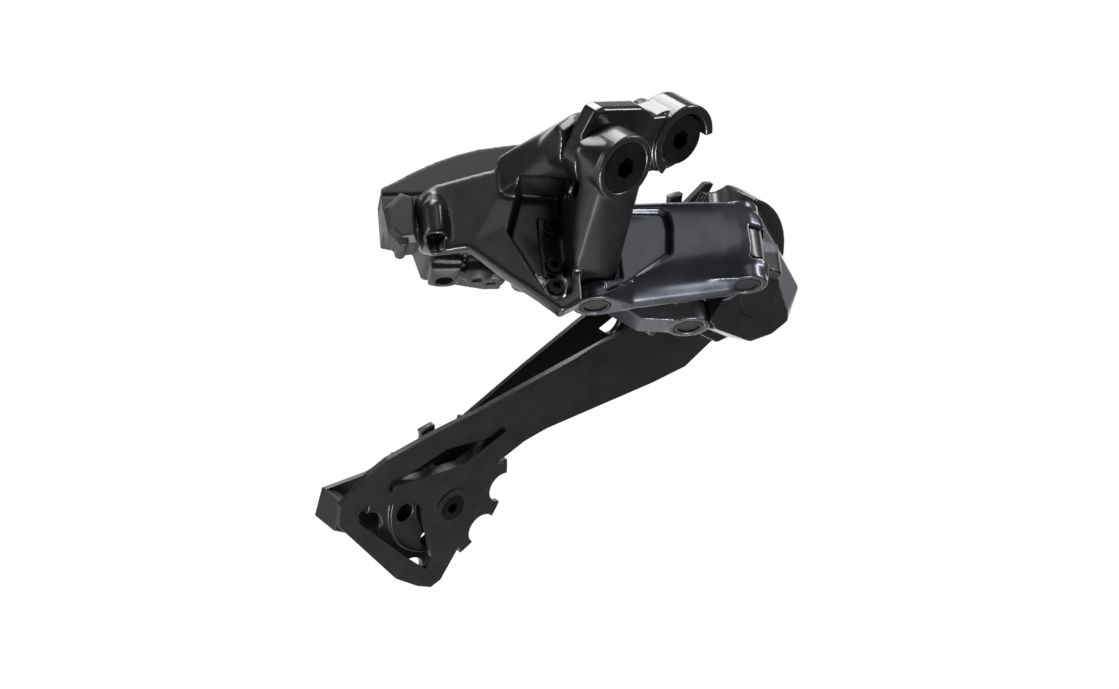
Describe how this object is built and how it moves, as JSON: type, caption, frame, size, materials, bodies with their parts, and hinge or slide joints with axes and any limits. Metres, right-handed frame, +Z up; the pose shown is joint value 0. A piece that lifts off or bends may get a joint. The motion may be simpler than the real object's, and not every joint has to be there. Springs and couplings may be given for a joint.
{
  "type": "rear bicycle derailleur",
  "caption": "Rear bicycle derailleur with a motor unit, a slanted parallelogram, a sprung long cage and two toothed pulleys.",
  "frame": {"origin": "hanger bolt's axis, on the face that seats against the frame hanger", "axes": "+X forward along the bicycle, +Y inboard towards the wheel and along the hanger bolt, +Z up"},
  "size_m": [0.1159, 0.0834, 0.1515],
  "materials": {
    "casting": "die-cast aluminium, dark satin paint",
    "forged_gloss": "forged aluminium, glossy dark coat",
    "satin_link": "die-cast aluminium, satin metallic paint",
    "housing_plastic": "glass-filled nylon, moulded",
    "button_plastic": "moulded plastic",
    "lens_plastic": "clear moulded plastic",
    "board": "circuit board with solder mask",
    "seal_rubber": "moulded rubber",
    "turned_steel": "turned steel",
    "spring_steel": "wound spring wire",
    "black_steel": "black zinc plated steel",
    "bush_metal": "sintered bronze",
    "cage_plate": "stamped aluminium, black anodised",
    "pulley_resin": "moulded acetal resin"
  },
  "bodies": {
    "hanger_link": {"b_link": "forged_gloss", "hanger_bolt": "black_steel", "b_bush": "bush_metal"},
    "base": {"b_axle_bolt": "black_steel", "b_spring": "spring_steel", "base_body": "casting", "motor_case": "housing_plastic", "motor_cover": "housing_plastic", "cover_screws": "turned_steel", "cover_seal": "seal_rubber", "charge_port": "turned_steel", "led_lens": "lens_plastic", "circuit_board": "board", "motor_can": "turned_steel", "gear_shafts": "turned_steel", "outer_rear_pin": "turned_steel", "button_spring": "spring_steel"},
    "outer_link": {"outer_link": "satin_link", "outer_link_bushes": "bush_metal"},
    "inner_link": {"inner_link": "satin_link", "inner_link_bushes": "bush_metal", "output_shaft": "turned_steel", "output_gear": "turned_steel"},
    "knuckle": {"knuckle": "casting", "knuckle_cap": "housing_plastic", "outer_front_pin": "turned_steel", "inner_front_pin": "turned_steel", "p_bush": "bush_metal", "p_seal": "seal_rubber", "cage_spring": "spring_steel"},
    "cage": {"p_axle": "turned_steel", "outer_plate": "cage_plate", "inner_plate": "cage_plate", "cage_stop_pin": "turned_steel", "guide_bolt": "black_steel", "tension_bolt": "black_steel", "guide_sleeve": "turned_steel", "tension_sleeve": "turned_steel"},
    "guide": {"guide_pulley": "pulley_resin", "guide_bearing": "turned_steel", "guide_shields": "black_steel"},
    "tension": {"tension_pulley": "pulley_resin", "tension_bearing": "turned_steel", "tension_shields": "black_steel"},
    "second": {"second_gear": "turned_steel"},
    "first": {"first_gear": "bush_metal"},
    "rotor": {"motor_rotor": "bush_metal"},
    "button": {"function_button": "button_plastic"},
    "port": {"port_cover": "housing_plastic"},
    "end_adjust": {"end_adjust_screw": "black_steel"},
    "high_limit": {"high_limit_screw": "black_steel"},
    "low_limit": {"low_limit_screw": "black_steel"}
  },
  "joints": [
    {"name": "b_axle_turn", "type": "hinge", "parent": "hanger_link", "child": "base", "pos_m": [-0.025, -0.007, -0.0134], "axis": [0, 1, 0], "range_deg": [0, 20], "stiffness_Nm_per_rad": 1.2, "springref_deg": -28.65},
    {"name": "outer_link_swing", "type": "hinge", "parent": "base", "child": "outer_link", "pos_m": [-0.001, -0.00318, -0.03924], "axis": [0, 0.7071, 0.7071], "range_deg": [0, 80]},
    {"name": "inner_link_swing", "type": "hinge", "parent": "base", "child": "inner_link", "pos_m": [0.0002, 0.01662, -0.04773], "axis": [0, 0.7071, 0.7071], "range_deg": [0, 80]},
    {"name": "knuckle_turn", "type": "hinge", "parent": "outer_link", "child": "knuckle", "pos_m": [0.02845, -0.02315, -0.01786], "axis": [0, 0.7071, 0.7071], "range_deg": [-80, 0]},
    {"name": "cage_swing", "type": "hinge", "parent": "knuckle", "child": "cage", "pos_m": [0.042, 0, -0.025], "axis": [0, -1, 0], "range_deg": [0, 100], "stiffness_Nm_per_rad": 0.25, "springref_deg": -80.21},
    {"name": "guide_spin", "type": "hinge", "parent": "cage", "child": "guide", "pos_m": [0.045, 0.0092, -0.033], "axis": [0, 1, 0], "continuous": true},
    {"name": "tension_spin", "type": "hinge", "parent": "cage", "child": "tension", "pos_m": [0.0068, 0.0092, -0.117], "axis": [0, 1, 0], "continuous": true},
    {"name": "second_gear_turn", "type": "hinge", "parent": "base", "child": "second", "pos_m": [-0.00748, 0.02963, -0.04377], "axis": [0, 0.7071, 0.7071], "range_deg": [-240, 0]},
    {"name": "first_gear_turn", "type": "hinge", "parent": "base", "child": "first", "pos_m": [-0.01569, 0.0319, -0.04957], "axis": [0, 0.7071, 0.7071], "range_deg": [0, 720]},
    {"name": "rotor_turn", "type": "hinge", "parent": "base", "child": "rotor", "pos_m": [-0.02477, 0.03592, -0.05148], "axis": [0, 0.7071, 0.7071], "range_deg": [-2160, 0]},
    {"name": "button_press", "type": "slide", "parent": "base", "child": "button", "axis": [0, -0.7071, -0.7071], "range_m": [0, 0.0008], "stiffness_N_per_m": 500, "springref_m": -0.0006},
    {"name": "port_cover_open", "type": "hinge", "parent": "base", "child": "port", "pos_m": [-0.03895, 0.02274, -0.06064], "axis": [-0.7046, -0.5017, 0.5017], "range_deg": [0, 90]},
    {"name": "end_adjust_turn", "type": "hinge", "parent": "base", "child": "end_adjust", "pos_m": [-0.01106, 0.0052, -0.03702], "axis": [-0.7046, -0.5017, 0.5017], "range_deg": [-180, 180]},
    {"name": "high_limit_turn", "type": "hinge", "parent": "base", "child": "high_limit", "pos_m": [-0.01162, -0.00289, -0.0459], "axis": [-0.7046, -0.5017, 0.5017], "range_deg": [-180, 180]},
    {"name": "low_limit_turn", "type": "hinge", "parent": "base", "child": "low_limit", "pos_m": [-0.01162, -0.00713, -0.05014], "axis": [-0.7046, -0.5017, 0.5017], "range_deg": [-180, 180]}
  ],
  "couplings": [
    {"joint": "inner_link_swing", "follows": "outer_link_swing", "ratio": 1},
    {"joint": "knuckle_turn", "follows": "outer_link_swing", "ratio": -1},
    {"joint": "second_gear_turn", "follows": "outer_link_swing", "ratio": -3},
    {"joint": "first_gear_turn", "follows": "outer_link_swing", "ratio": 9},
    {"joint": "rotor_turn", "follows": "outer_link_swing", "ratio": -27}
  ]
}
